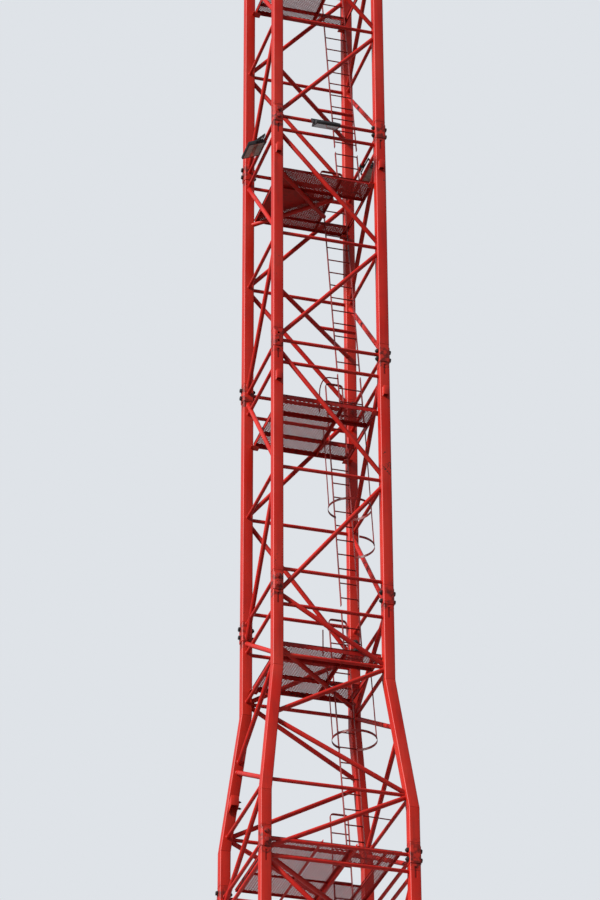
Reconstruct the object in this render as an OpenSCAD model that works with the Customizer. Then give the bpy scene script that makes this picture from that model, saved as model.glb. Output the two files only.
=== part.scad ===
// Lattice mast of a tower crane: a wide foot section, a tapered section and three narrow sections.
// The origin is the middle of the front left chord's foot face, with +Z up the mast and +Y into it.

/* [Mast] */
// Height of each of the five sections
section_h = 4500; // [4200:50:4800]
// Spacing of the chord centres in the three upper sections
narrow_cc = 1800; // [1600:10:2000]
// Spacing of the chord centres in the foot section
wide_cc = 2320; // [2150:10:2500]
// Height of the lower bend of the tapered chords above their section's foot
bend_low = 930; // [800:10:1000]
// Height of the upper bend of the tapered chords above their section's foot
bend_high = 3190; // [3100:10:3300]

/* [Chords] */
// Outer width of a square chord
chord_w = 170; // [150:5:180]
// Wall of a chord
chord_wall = 12; // [8:1:16]
// Wall of the spigot that joins two chords
spigot_wall = 16; // [10:1:20]
// Height of a spigot above the joint
spigot_up = 320; // [300:10:400]
// Depth of a spigot below the joint
spigot_down = 250; // [250:10:300]
// Gap around a spigot in the chord above
spigot_gap = 1; // [0.5:0.5:3]
// Height of the socket that is welded to a chord's foot
socket_h = 350; // [340:5:400]
// Width of the plate around the bolts on a chord's outer face
plate_w = 128; // [120:1:140]
// Height of that plate
plate_h = 300; // [290:5:330]
// Thickness of that plate
plate_t = 12; // [8:1:16]
// Width of the slot in a chord's head through which its spigot is welded
slot_w = 25; // [20:1:30]
// Height of that slot
slot_h = 185; // [160:5:190]
// Distance of that slot below the joint
slot_down = 50; // [40:5:60]
// Width of a climbing lug
lug_w = 86; // [80:1:95]
// How far a climbing lug stands out from its chord
lug_out = 74; // [60:2:90]
// Height of a climbing lug
lug_h = 165; // [150:5:180]
// Wall of a climbing lug
lug_wall = 12; // [8:1:16]
// Height of a climbing lug's middle above the foot of a narrow section
lug_z = 3920; // [3900:10:3950]

/* [Joint bolts] */
// Diameter of a joint bolt
bolt_d = 40; // [30:1:45]
// Gap around a bolt in its hole, on the diameter
bolt_gap = 2; // [1:0.5:3]
// Height of the lower bolt above the joint
bolt_low = 90; // [80:5:120]
// Height of the upper bolt above the joint
bolt_high = 240; // [210:5:270]
// Width of a bolt head across its flats
bolt_head_w = 65; // [60:1:75]
// Height of a bolt head
bolt_head_h = 26; // [20:1:35]
// Diameter of a washer
washer_d = 84; // [80:1:95]
// Thickness of a washer
washer_t = 8; // [5:1:12]

/* [Bracing] */
// Diameter of a diagonal tube
brace_d = 76; // [60:1:90]
// Diameter of a horizontal tube
tie_d = 60; // [50:1:70]
// Height of the middle ring of tubes above a section's foot
ring_z = 2280; // [2200:10:2350]
// How far a diagonal meets its chord above or below the ring
ring_split = 40; // [0:5:60]
// Height of the lowest ring of tubes above the foot of a straight or tapered section
tie_foot = 165; // [163:1:167]
// Distance of the highest ring of tubes below the head of a straight section
tie_head = 110; // [100:5:130]
// Height where the lower diagonals of a straight section start
brace_foot = 215; // [210:5:240]
// Distance below the head where the upper diagonals of a straight section end
brace_head = 125; // [120:5:150]
// Height of the lower section's lowest front and right tube above its foot
lower_tie_foot = 425; // [415:5:435]
// Height of the lower section's lowest back tube above its foot
lower_back_tie = 545; // [530:5:560]
// Height of the lower section's lowest left tube above its foot
lower_left_tie = 320; // [315:5:325]
// Distance of the lower section's highest ring of tubes below its head
lower_tie_head = 250; // [240:5:260]
// Distance below the lower section's foot where the lines of its lower diagonals start
lower_brace_foot = 25; // [15:5:30]
// Distance above the lower section's head where the lines of its upper diagonals end
lower_brace_head = 20; // [15:5:25]
// Height of the plan diagonal above a narrow section's foot
plan_z = 1200; // [1150:10:1300]
// Height of the foot section's plan diagonal
foot_plan_z = 4430; // [4300:10:4440]

/* [Decks] */
// Height of the taper, lower and upper deck's walking faces above the foot of their sections
deck_z = 3690; // [3600:10:3750]
// Height of the middle section's deck above the section's foot
middle_deck_z = 3670; // [3600:10:3750]
// Thickness of a deck's sheet or mesh
deck_t = 5; // [3:1:8]
// Depth of a deck's edge frame
rim_h = 80; // [60:5:100]
// Thickness of a deck's edge frame
rim_t = 8; // [5:1:12]
// Depth of the middle section's deck frame
middle_rim_h = 50; // [40:5:70]
// Gap between a deck and the chords' inner faces
deck_gap = 2; // [1:1:5]
// Thickness of a cleat that carries a deck
cleat_t = 12; // [8:1:16]
// How far a cleat reaches in under a deck
cleat_reach = 90; // [70:5:120]
// Distance of the foot section's deck edges from the mast's axis
foot_deck_e = 1020; // [980:10:1030]
// Depth of the foot section's deck frame, and of the two beams under it
foot_rim_h = 40; // [35:1:50]
// Left edge of the hatches, from the mast's axis
hatch_x = 270; // [240:5:300]
// Width of a hatch
hatch_w = 520; // [480:5:540]
// Distance from the middle of the next ladder's foot to the front edge of the hatch
hatch_ledge = 36; // [34:1:60]
// Gap between a ladder's middle and the back edge of the hatch that it passes
hatch_behind = 40; // [36:1:60]

/* [Ladders] */
// Distance of the ladders' left edge from the mast's axis
ladder_left = 345; // [330:5:350]
// Width over the stiles of the two upper ladders
ladder_w = 400; // [360:5:420]
// Width over the stiles of the three lower ladders
low_ladder_w = 300; // [280:5:320]
// Depth of a stile
stile_w = 50; // [40:1:60]
// Thickness of a stile
stile_t = 10; // [8:1:14]
// Diameter of a rung
rung_d = 22; // [18:1:28]
// Distance between rungs, along the ladder
rung_pitch = 295; // [260:5:320]
// Distance of an upper ladder's foot in front of the mast's axis
ladder_foot = 330; // [310:5:360]
// Distance of a lower ladder's foot in front of the mast's axis
low_ladder_foot = 400; // [390:5:420]
// Distance of the tapered section's ladder's foot in front of the mast's axis
taper_ladder_foot = 440; // [430:5:460]
// Distance of an upper ladder behind the axis where it passes its deck
ladder_head = 510; // [460:5:540]
// Distance of the lower section's ladder behind the axis where it passes its deck
low_ladder_head = 340; // [320:5:360]
// Distance of the foot section's ladder behind the axis where it passes its deck
foot_ladder_head = 300; // [280:5:305]
// Distance of the tapered section's ladder behind the axis where it passes its deck
taper_ladder_head = 225; // [215:5:245]
// How far a ladder stands up through the hatch, to the top of its loop
ladder_over = 1210; // [1000:10:1250]
// Outer radius of the loop's corners
loop_r = 60; // [40:5:80]

/* [Safety cages] */
// Diameter of a safety hoop
hoop_d = 710; // [680:5:715]
// Height of a hoop's flat bar
hoop_h = 40; // [30:1:50]
// Thickness of a hoop's flat bar
hoop_t = 6; // [5:1:10]
// Distance between hoops
hoop_pitch = 770; // [650:10:800]
// Height of a cage's lowest hoop above the deck that its ladder stands on
hoop_first = 2070; // [2000:10:2300]

/* [Floodlights] */
// Width of a floodlight
lamp_w = 420; // [380:5:440]
// Depth of a floodlight
lamp_l = 330; // [300:5:360]
// Thickness of a floodlight
lamp_h = 85; // [75:5:100]
// Wall of a floodlight's housing
lamp_wall = 4; // [3:1:6]
// Width of the rim round a floodlight's glass
lamp_rim = 18; // [15:1:25]
// Thickness of the glass
glass_t = 5; // [4:1:8]
// Gap around the glass
glass_gap = 0.3; // [0.2:0.1:0.5]
// Distance of the pivot outwards from the tube's centre line
lamp_out = 200; // [190:5:230]
// Distance of the pivot below the tube's centre line
lamp_drop = 170; // [160:5:200]
// Distance of a floodlight from the middle of its tube
lamp_shift = 95; // [60:5:120]
// Tilt of a floodlight below the horizontal
lamp_tilt = 25; // [15:1:30]
// Diameter of the pivot
pivot_d = 20; // [16:1:24]
// Gap around the pivot, on the diameter
pivot_gap = 0.6; // [0.4:0.1:1]
// Width of the yoke's flat bar
yoke_w = 40; // [35:1:50]
// Thickness of the yoke's flat bar
yoke_t = 8; // [6:1:10]
// Gap between a floodlight and its yoke
yoke_gap = 8; // [6:1:12]

/* [Hidden] */

red = "#c2352b";
deep_red = "#8f1f1d";
black = "#26272a";

// Each section's number, counted from the foot
foot = 0;
taper = 1;
lower = 2;
middle = 3;
upper = 4;

// Each side's number, in quarter turns from the front
front = 0;
right = 1;
back = 2;
left = 3;

// A bar of the bracing has this many sides
bar_sides = 8;
round_sides = 48;
spigot_w = chord_w - 2 * chord_wall;
corners = [[-1, -1], [1, -1], [1, 1], [-1, 1]];

// Half the spacing of the chord centres at height z of the mast
bend_z = [section_h + bend_low, section_h + bend_high];
function half_cc(z) =
    z <= bend_z[0] ? wide_cc / 2
    : z >= bend_z[1] ? narrow_cc / 2
    : (wide_cc + (narrow_cc - wide_cc) * (z - bend_z[0]) / (bend_z[1] - bend_z[0])) / 2;

// The height of each deck's walking face: the foot section's deck lies on two beams above its joint
beam_z = section_h + tie_foot + tie_d / 2;
function deck_top(section) =
    section == foot ? beam_z + 2 * foot_rim_h
    : section * section_h + (section == middle ? middle_deck_z : deck_z);

// Half the clear width between the chords' inner faces
function half_clear(z) = half_cc(z) - chord_w / 2;

// A point on the front side: u runs from -1 on the left chord to 1 on the right one
function on_side(u, z) = [u * half_cc(z), -half_cc(z), z];

// The mast's axis is the place of everything below
module on_axis() {
    translate([wide_cc / 2, wide_cc / 2, 0]) children();
}

// A straight bar between two points
module bar(a, b, d, sides = bar_sides) {
    v = b - a;
    translate(a) rotate([0, acos(v[2] / norm(v)), atan2(v[1], v[0])])
        cylinder(d = d, h = norm(v), $fn = sides);
}

// Chords

// One prism with a square section that may shift sideways between its ends
module square_prism(c0, z0, c1, z1, w) {
    if (c0 == c1) {
        translate([c0[0] - w / 2, c0[1] - w / 2, z0]) cube([w, w, z1 - z0]);
    } else {
        ring = [for (s = corners) [s[0] * w / 2, s[1] * w / 2]];
        polyhedron(
            points = concat([for (p = ring) [c0[0] + p[0], c0[1] + p[1], z0]],
                            [for (p = ring) [c1[0] + p[0], c1[1] + p[1], z1]]),
            faces = [[0, 1, 2, 3], [7, 6, 5, 4], [0, 4, 5, 1], [1, 5, 6, 2], [2, 6, 7, 3], [3, 7, 4, 0]]);
    }
}

// The heights where a section's chords start, bend and end
function chord_stops(section) =
    section == taper ? [section_h, bend_z[0], bend_z[1], 2 * section_h]
    : [section * section_h, (section + 1) * section_h];

// The foot section's chords start on sockets that are solids of their own
module chord_run(section, s, w) {
    stops = chord_stops(section);
    for (i = [0 : len(stops) - 2]) {
        z = section == foot ? stops[i] + socket_h : stops[i];
        square_prism(s * half_cc(z), z, s * half_cc(stops[i + 1]), stops[i + 1], w);
    }
}

// A bolt lies front to back on the front left and back right chords, and across on the other two
function bolt_turn(s) = s[0] == s[1] ? 90 : 0;

module at_bolts(z, s) {
    c = s * half_cc(z);
    for (h = [bolt_low, bolt_high]) {
        translate([c[0], c[1], z + h]) rotate([0, 0, bolt_turn(s)]) rotate([0, 90, 0]) children();
    }
}

module bolt_holes(z, s) {
    at_bolts(z, s) cylinder(d = bolt_d + bolt_gap, h = 2 * chord_w, center = true, $fn = round_sides);
}

// The square tube that stands up out of a chord's head into the chord above
module spigot(z, s) {
    c = s * half_cc(z);
    fit_w = spigot_w - 2 * spigot_gap;
    bore_w = spigot_w - 2 * spigot_wall;
    difference() {
        union() {
            square_prism(c, z - spigot_down, c, z, spigot_w);
            square_prism(c, z, c, z + spigot_up, fit_w);
        }
        square_prism(c, z - spigot_down - 1, c, z + spigot_up + 1, bore_w);
        bolt_holes(z, s);
    }
}

// A plate on a chord's inner corner that carries a deck
module cleat(z, s) {
    reach = half_clear(z) - cleat_reach;
    side = cleat_reach + chord_w / 3;
    difference() {
        translate([s[0] * (reach + side / 2), s[1] * (reach + side / 2), z - cleat_t / 2])
            cube([side, side, cleat_t], center = true);
        square_prism(s * half_cc(z), z - 2 * cleat_t, s * half_cc(z), z + cleat_t, chord_w - chord_wall);
    }
}

// The plate around the bolts of a chord's lower joint, on the outer face that they pass through
module joint_plate(z, s) {
    c = s * half_cc(z);
    translate([c[0], c[1], z]) rotate([0, 0, bolt_turn(s)])
        translate([s[0] * (chord_w + plate_t) / 2, 0, plate_h / 2])
            cube([plate_t, plate_w, plate_h], center = true);
}

// The slot in the front or back wall of a chord that ends at height z
module head_slot(z, s) {
    translate([s[0] * half_cc(z), s[1] * (half_cc(z) + chord_w / 2), z - slot_down - slot_h / 2])
        cube([slot_w, 2 * chord_wall, slot_h], center = true);
}

// The hood on a chord's front or back face, open below, on which a climbing frame takes hold
module lug(z, s) {
    c = s * half_cc(z);
    translate([c[0], c[1] + s[1] * (chord_w + lug_out) / 2, z]) difference() {
        cube([lug_w, lug_out, lug_h], center = true);
        translate([0, -s[1] * lug_wall, -lug_wall])
            cube([lug_w - 2 * lug_wall, lug_out, lug_h], center = true);
    }
}

function deck_depth(section) =
    section == foot ? foot_rim_h : section == middle ? middle_rim_h : rim_h;

// Where a deck rests on a cleat: beams carry the foot's, and tubes in plan the taper's at two
// corners and the middle one at its left
function has_cleat(section, s) =
    section == foot ? false
    : section == taper ? s[0] != s[1]
    : section == middle ? s[0] > 0
    : true;

module chords(section) {
    z0 = section * section_h;
    z1 = z0 + section_h;
    inner_w = chord_w - 2 * chord_wall;
    for (s = corners) {
        difference() {
            union() {
                chord_run(section, s, chord_w);
                if (section != foot) joint_plate(z0, s);
            }
            chord_run(section, s, inner_w);
            if (section != foot) bolt_holes(z0, s);
            head_slot(z1, s);
        }
        spigot(z1, s);
        if (section > taper) lug(z0 + lug_z, s);
        if (has_cleat(section, s)) cleat(deck_top(section) - deck_depth(section), s);
    }
}

// The square sockets at the mast's foot, which take the spigots of the section below
module foot_sockets() {
    color(red) for (s = corners) {
        c = s * half_cc(0);
        difference() {
            square_prism(c, 0, c, socket_h, chord_w);
            square_prism(c, -1, c, socket_h + 1, spigot_w);
            bolt_holes(0, s);
        }
    }
}

// One half of a bolt, with its washer at the distance face and its head or nut on it
module bolt_half(face) {
    grip = face + washer_t;
    cylinder(d = bolt_d, h = grip + bolt_head_h, $fn = round_sides);
    translate([0, 0, face]) cylinder(d = washer_d, h = washer_t, $fn = round_sides);
    translate([0, 0, grip]) cylinder(d = bolt_head_w / cos(30), h = bolt_head_h, $fn = 6);
}

// The bolts of the joint at height z, whose heads lie on the plate of the chord's outer face
module bolt(z, s) {
    at_bolts(z, s) {
        for (m = [-1, 1]) mirror([0, 0, (1 - m) / 2])
            bolt_half(chord_w / 2 + (m == s[0] ? plate_t : 0));
    }
}

// The front left chord of the middle joint has lost its two bolts
module joint_bolts() {
    color(black) for (k = [1 : 4], s = corners) {
        if (k != middle || s != corners[0]) bolt(k * section_h, s);
    }
}

// Bracing

// What lies between the inner faces of the two chords of the front side
module between_chords(section) {
    stops = chord_stops(section);
    outline = concat([for (z = stops) [half_clear(z), z]],
                     [for (i = [len(stops) - 1 : -1 : 0]) [-half_clear(stops[i]), stops[i]]]);
    translate([0, -narrow_cc / 4, 0]) rotate([90, 0, 0])
        linear_extrude(height = wide_cc) polygon(outline);
}

module side_bar(a, b, d) {
    bar(on_side(a[0], a[1]), on_side(b[0], b[1]), d);
}

module side_tie(z) {
    side_bar([-1, z], [1, z], tie_d);
}

// Two diagonals that meet at the ring on the right chord, with ties at the foot, ring and head
module k_side(z0, foot_tie, head_tie, brace_foot, brace_head) {
    side_tie(z0 + foot_tie);
    side_tie(z0 + ring_z);
    side_tie(z0 + head_tie);
    side_bar([-1, z0 + brace_foot], [1, z0 + ring_z - ring_split], brace_d);
    side_bar([1, z0 + ring_z + ring_split], [-1, z0 + brace_head], brace_d);
}

// Heights above a section's foot: lower tie, upper tie, foot and head of the diagonals
straight_heights = [tie_foot, section_h - tie_head, brace_foot, section_h - brace_head];
lower_heights = [lower_tie_foot, section_h - lower_tie_head,
                 -lower_brace_foot, section_h + lower_brace_head];

// The tapered side zigzags: its tubes meet the chords a little above and below the two bends and
// halfway between them
taper_tie_head = section_h - 200;
taper_upper_knee = bend_high + 230;
taper_apex = (bend_low + bend_high) / 2 + 240;
taper_lower_knee = bend_low + 225;

module taper_side(z0) {
    for (z = [taper_tie_head, taper_upper_knee, taper_lower_knee, tie_foot]) side_tie(z0 + z);
    side_bar([-1, z0 + section_h], [1, z0 + taper_upper_knee], brace_d);
    side_bar([1, z0 + taper_upper_knee], [-1, z0 + taper_apex + ring_split], brace_d);
    side_bar([-1, z0 + taper_apex - ring_split], [1, z0 + taper_lower_knee], brace_d);
    side_bar([1, z0 + taper_lower_knee], [-1, z0], brace_d);
}

module bracing(section, side) {
    z0 = section * section_h;
    h = section == lower ? lower_heights : straight_heights;
    foot_tie = section == lower && side == back ? lower_back_tie
        : section == lower && side == left ? lower_left_tie
        : h[0];
    color(red) rotate([0, 0, 90 * side]) intersection() {
        between_chords(section);
        if (section == taper) taper_side(z0);
        else k_side(z0, foot_tie, h[1], h[2], h[3]);
    }
}

// A tube that crosses the mast at height z, from the front left to the back right chord
module plan_diagonal(z) {
    e = half_clear(z);
    intersection() {
        bar([-half_cc(z), -half_cc(z), z], [half_cc(z), half_cc(z), z], brace_d);
        translate([0, 0, z]) cube([2 * e, 2 * e, 2 * brace_d], center = true);
    }
}

// A bar from the plan diagonal of a narrow section along the back of its ladder
module ladder_stay(section) {
    z = section * section_h + plan_z;
    y = ladder_y(section, z) + stile_half(section) + tie_d / 2;
    bar([y, y, z], [ladder_left + ladder_wide(section), y, z], tie_d);
}

// The two beams under the foot section's deck, which lie on the front and the back tie
module foot_beams() {
    reach = half_cc(beam_z) + tie_d / 2;
    for (x = [-hatch_x, hatch_x - rim_t]) {
        translate([x, -reach, beam_z]) cube([rim_t, 2 * reach, foot_rim_h]);
    }
}

// The two tubes under the middle deck that cross below it, from the left chords to the hatch
module deck_cross(z) {
    e = half_clear(z);
    for (m = [0, 1]) mirror([0, m, 0]) intersection() {
        bar([-half_cc(z), -half_cc(z), z], [half_cc(z), half_cc(z), z], brace_d);
        translate([-e, -e, z - brace_d]) cube([e + hatch_x, 2 * e, 2 * brace_d]);
    }
}

module plan_bracing() {
    color(red) {
        foot_beams();
        plan_diagonal(foot_plan_z);
        plan_diagonal(deck_top(taper) - rim_h - brace_d / 2);
        deck_cross(deck_top(middle) - middle_rim_h - brace_d / 2);
        for (section = [middle, upper]) {
            plan_diagonal(section * section_h + plan_z);
            ladder_stay(section);
        }
    }
}

// Decks

function hatch_back(section) = ladder_head_y(section) + hatch_behind;
function hatch_front(section) = ladder_foot_y(min(section + 1, upper)) + hatch_ledge;

// A deck with its walking face at height 0: an edge frame, joists and a sheet, around the hatch
module deck_panel(e, depth, joist_h, y0, y1) {
    x0 = hatch_x;
    x1 = hatch_x + hatch_w;
    difference() {
        translate([-e, -e, -depth]) cube([2 * e, 2 * e, depth]);
        translate([rim_t - e, rim_t - e, -depth - 1])
            cube([2 * (e - rim_t), 2 * (e - rim_t), depth + 1 - deck_t]);
        translate([x0, y0, -2 * depth]) cube([hatch_w, y1 - y0, 3 * depth]);
    }
    for (x = [x0 - rim_t, x1]) {
        translate([x, -e + rim_t / 2, -joist_h]) cube([rim_t, 2 * e - rim_t, joist_h]);
    }
    for (y = [y0 - rim_t, y1]) {
        translate([-e + rim_t / 2, y, -joist_h]) cube([x0 + e, rim_t, joist_h]);
        translate([x0 - rim_t / 2, y, -joist_h]) cube([hatch_w + rim_t, rim_t, joist_h]);
    }
}

module deck(section) {
    z = deck_top(section);
    color(deep_red) translate([0, 0, z]) {
        deck_panel(section == foot ? foot_deck_e : half_clear(z) - deck_gap, deck_depth(section),
                   min(rim_h, deck_depth(section)), hatch_front(section), hatch_back(section));
    }
}

// Ladders

// A ladder rises from one deck to the next, and its place moves back as it rises
function ladder_wide(section) = section < middle ? low_ladder_w : ladder_w;
function ladder_x(section) = ladder_left + ladder_wide(section) / 2;
function ladder_foot_z(section) = section == foot ? 0 : deck_top(section - 1);
function ladder_foot_y(section) =
    section == taper ? -taper_ladder_foot : section < middle ? -low_ladder_foot : -ladder_foot;
function ladder_head_y(section) =
    [foot_ladder_head, taper_ladder_head, low_ladder_head, ladder_head, ladder_head][section];
function lean(section) = (ladder_head_y(section) - ladder_foot_y(section))
    / (deck_top(section) - ladder_foot_z(section));
function ladder_y(section, z) = ladder_foot_y(section) + lean(section) * (z - ladder_foot_z(section));

// Half of a leaning stile's depth, measured level
function stile_half(section) = stile_w / 2 * norm([1, lean(section)]);

// A ladder's outline: two stiles that join in a loop with round corners
module loop_outline(w, l, r) {
    square([w, l - r]);
    translate([r, 0]) square([w - 2 * r, l]);
    for (x = [r, w - r]) translate([x, l - r]) circle(r, $fn = round_sides);
}

module ladder(section) {
    w = ladder_wide(section);
    z0 = ladder_foot_z(section);
    z1 = section == upper ? 5 * section_h : deck_top(section) + ladder_over;
    along = norm([1, lean(section)]);
    below = stile_w;
    l = (z1 - z0) * along + below;
    color(red) difference() {
        translate([ladder_left, ladder_foot_y(section), z0]) rotate([90 - atan(lean(section)), 0, 0]) {
            translate([0, -below, -stile_w / 2]) linear_extrude(height = stile_w) difference() {
                loop_outline(w, l, loop_r);
                translate([stile_t, -stile_t]) loop_outline(w - 2 * stile_t, l, loop_r - stile_t);
            }
            for (v = [rung_pitch / 2 : rung_pitch : l - below - rung_pitch]) {
                translate([stile_t / 2, v, 0]) rotate([0, 90, 0])
                    cylinder(d = rung_d, h = w - stile_t, $fn = bar_sides);
            }
        }
        translate([0, -wide_cc / 2, z0 - 4 * below]) cube([wide_cc / 2, wide_cc, 4 * below]);
    }
}

// The flat bars that hold a ladder to the back edge of the hatch that it passes
module hatch_brackets(section) {
    z1 = deck_top(section);
    z0 = z1 - min(rim_h, deck_depth(section));
    back = stile_half(section);
    for (x = [0, ladder_wide(section) - stile_t]) {
        translate([ladder_left + x, 0, 0]) rotate([90, 0, 90]) linear_extrude(height = stile_t)
            polygon([[ladder_y(section, z0) + back, z0], [hatch_back(section), z0],
                     [hatch_back(section), z1], [ladder_y(section, z1) + back, z1]]);
    }
}

module ladder_brackets() {
    color(red) for (section = [foot : upper]) hatch_brackets(section);
}

// Safety cages

// A hoop stands out in front of a low ladder from one stile to the other
hoop_reach = sqrt(pow(hoop_d / 2, 2) - pow(low_ladder_w / 2, 2));
function hoop_y(section, z) = ladder_y(section, z) - stile_half(section) - hoop_reach;

// A hoop at height z, or only its right half
module hoop(section, z, whole) {
    translate([ladder_x(section), hoop_y(section, z), z]) difference() {
        cylinder(d = hoop_d, h = hoop_h, $fn = round_sides);
        translate([0, 0, -1]) cylinder(d = hoop_d - 2 * hoop_t, h = hoop_h + 2, $fn = round_sides);
        translate([-hoop_d, hoop_reach, -1]) cube([2 * hoop_d, hoop_d, hoop_h + 2]);
        if (!whole) translate([-hoop_d, -hoop_d, -1]) cube([hoop_d, 2 * hoop_d, hoop_h + 2]);
    }
}

// A flat bar along a ladder's lean that crosses the hoops at x, from height z0 to z1
module strap(section, x, z0, z1) {
    ring = (hoop_d - hoop_t) / 2;
    y = -sqrt(max(0, pow(ring, 2) - pow(x - ladder_x(section), 2)));
    y0 = hoop_y(section, z0) + y;
    y1 = hoop_y(section, z1) + y;
    half = hoop_h / 2;
    translate([x, 0, 0]) rotate([90, 0, 90]) linear_extrude(height = hoop_t, center = true)
        polygon([[y0 - half, z0], [y0 + half, z0], [y1 + half, z1], [y1 - half, z1]]);
}

// A cage of one or more hoops, on two straps that hang from the deck above
module cage(section, hoops) {
    z0 = ladder_foot_z(section) + hoop_first;
    top = z0 + (hoops - 1) * hoop_pitch;
    left_x = ladder_x(section) - (hoop_d - hoop_t) / 2;
    right_x = hatch_x + hatch_w + rim_t / 2;
    color(red) {
        for (k = [0 : hoops - 1]) hoop(section, z0 + k * hoop_pitch, k == hoops - 1);
        strap(section, left_x, top, deck_top(section) - deck_t);
        strap(section, right_x, z0, deck_top(section) - rim_h);
    }
}

// The lower section's second hoop has lost its left half
module safety_cages() {
    cage(taper, 1);
    cage(lower, 2);
}

// Floodlights

pivot_y = -lamp_out;
yoke_x = lamp_w / 2 + yoke_gap;

// A floodlight and its yoke are placed from a point on a side's lowest tube, left or right of its middle
module at_lamp(side) {
    z = upper * section_h + tie_foot;
    x = (side == front || side == back ? -1 : 1) * lamp_shift;
    rotate([0, 0, 90 * side]) translate([x, -half_cc(z), z]) children();
}

module tie_piece(w, d) {
    bar([-w / 2, 0, 0], [w / 2, 0, 0], d);
}

// The yoke clamps on the tube, and its two arms slope down to hold the floodlight between them
clamp_w = 60;
yoke_front = -(tie_d / 2 + 3 * yoke_t);

module yoke_arm() {
    h = yoke_w / 2;
    rotate([90, 0, 90]) linear_extrude(height = yoke_t)
        polygon([[yoke_front + yoke_t, h], [yoke_front, h], [pivot_y - h, h - lamp_drop],
                 [pivot_y - h, -h - lamp_drop], [pivot_y + h, -h - lamp_drop], [yoke_front + yoke_t, -h]]);
}

module yoke() {
    difference() {
        union() {
            tie_piece(clamp_w, tie_d + 2 * yoke_t);
            translate([-clamp_w / 2, yoke_front, -yoke_w / 2]) cube([clamp_w, -yoke_front, yoke_w]);
            translate([-yoke_x - yoke_t, yoke_front, -yoke_w / 2]) cube([2 * (yoke_x + yoke_t), yoke_t, yoke_w]);
            for (m = [0, 1]) mirror([m, 0, 0]) translate([yoke_x, 0, 0]) yoke_arm();
        }
        tie_piece(2 * clamp_w, tie_d);
        translate([0, pivot_y, -lamp_drop]) rotate([0, 90, 0])
            cylinder(d = pivot_d + pivot_gap, h = 4 * lamp_w, center = true, $fn = round_sides);
    }
}

module floodlight_yokes() {
    color(black) for (side = [front, right, back, left]) at_lamp(side) yoke();
}

// The side outline of a floodlight's housing: y along its depth, z from its glass to its back
back_l = lamp_l - lamp_h;
module housing_outline(inset) {
    e = lamp_l / 2 - inset;
    b = back_l / 2 - inset / 2;
    polygon([[-e, -lamp_h / 2 + inset], [e, -lamp_h / 2 + inset], [e, inset], [b, lamp_h / 2 - inset],
             [-b, lamp_h / 2 - inset], [-e, inset]]);
}

module along_width(w) {
    rotate([90, 0, 90]) linear_extrude(height = w, center = true) children();
}

// A flat block at the housing's face, inside its rim by a gap, from height z0 to z1 above that face
module at_face(gap, z0, z1) {
    w = lamp_w - 2 * (lamp_rim + gap);
    l = lamp_l - 2 * (lamp_rim + gap);
    translate([-w / 2, -l / 2, z0 - lamp_h / 2]) cube([w, l, z1 - z0]);
}

// A floodlight about its pivot, with its glass facing down and its trunnions in the yoke
module floodlight(side) {
    color(black) at_lamp(side) translate([0, pivot_y, -lamp_drop]) rotate([lamp_tilt, 0, 0]) {
        difference() {
            along_width(lamp_w) housing_outline(0);
            along_width(lamp_w - 2 * lamp_wall) housing_outline(lamp_wall + glass_t);
            at_face(0, -1, glass_t + glass_gap);
            at_face(lamp_rim / 2, 0, 2 * (lamp_wall + glass_t));
        }
        at_face(glass_gap, 0, glass_t);
        for (m = [0, 1]) mirror([m, 0, 0]) translate([lamp_w / 2 - lamp_wall, 0, 0]) rotate([0, 90, 0])
            cylinder(d = pivot_d, h = yoke_gap + 2 * yoke_t + lamp_wall, $fn = round_sides);
    }
}

on_axis() foot_sockets();
color(red) on_axis() chords(foot);  // foot_chords
color(red) on_axis() chords(taper);  // taper_chords
color(red) on_axis() chords(lower);  // lower_chords
color(red) on_axis() chords(middle);  // middle_chords
color(red) on_axis() chords(upper);  // upper_chords
on_axis() bracing(foot, front);  // foot_front_bracing
on_axis() bracing(foot, right);  // foot_right_bracing
on_axis() bracing(foot, back);  // foot_back_bracing
on_axis() bracing(foot, left);  // foot_left_bracing
on_axis() bracing(taper, front);  // taper_front_bracing
on_axis() bracing(taper, right);  // taper_right_bracing
on_axis() bracing(taper, back);  // taper_back_bracing
on_axis() bracing(taper, left);  // taper_left_bracing
on_axis() bracing(lower, front);  // lower_front_bracing
on_axis() bracing(lower, right);  // lower_right_bracing
on_axis() bracing(lower, back);  // lower_back_bracing
on_axis() bracing(lower, left);  // lower_left_bracing
on_axis() bracing(middle, front);  // middle_front_bracing
on_axis() bracing(middle, right);  // middle_right_bracing
on_axis() bracing(middle, back);  // middle_back_bracing
on_axis() bracing(middle, left);  // middle_left_bracing
on_axis() bracing(upper, front);  // upper_front_bracing
on_axis() bracing(upper, right);  // upper_right_bracing
on_axis() bracing(upper, back);  // upper_back_bracing
on_axis() bracing(upper, left);  // upper_left_bracing
on_axis() plan_bracing();
on_axis() joint_bolts();
on_axis() deck(foot);  // foot_deck
on_axis() deck(taper);  // taper_deck
on_axis() deck(lower);  // lower_deck
on_axis() deck(middle);  // middle_deck
on_axis() deck(upper);  // upper_deck
on_axis() ladder(foot);  // foot_ladder
on_axis() ladder(taper);  // taper_ladder
on_axis() ladder(lower);  // lower_ladder
on_axis() ladder(middle);  // middle_ladder
on_axis() ladder(upper);  // upper_ladder
on_axis() ladder_brackets();
on_axis() safety_cages();
on_axis() floodlight_yokes();
on_axis() floodlight(front);  // front_floodlight
on_axis() floodlight(right);  // right_floodlight
on_axis() floodlight(back);  // back_floodlight
on_axis() floodlight(left);  // left_floodlight
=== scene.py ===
"""The looks of a tower crane's lattice mast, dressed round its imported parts.

Sizes are in metres. Everything is modelled about the mast's axis, at half the foot section's chord
spacing in X and in Y, and is moved there when it is finished.
"""
import math

import bmesh
import bpy
from mathutils import Matrix, Vector


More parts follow.
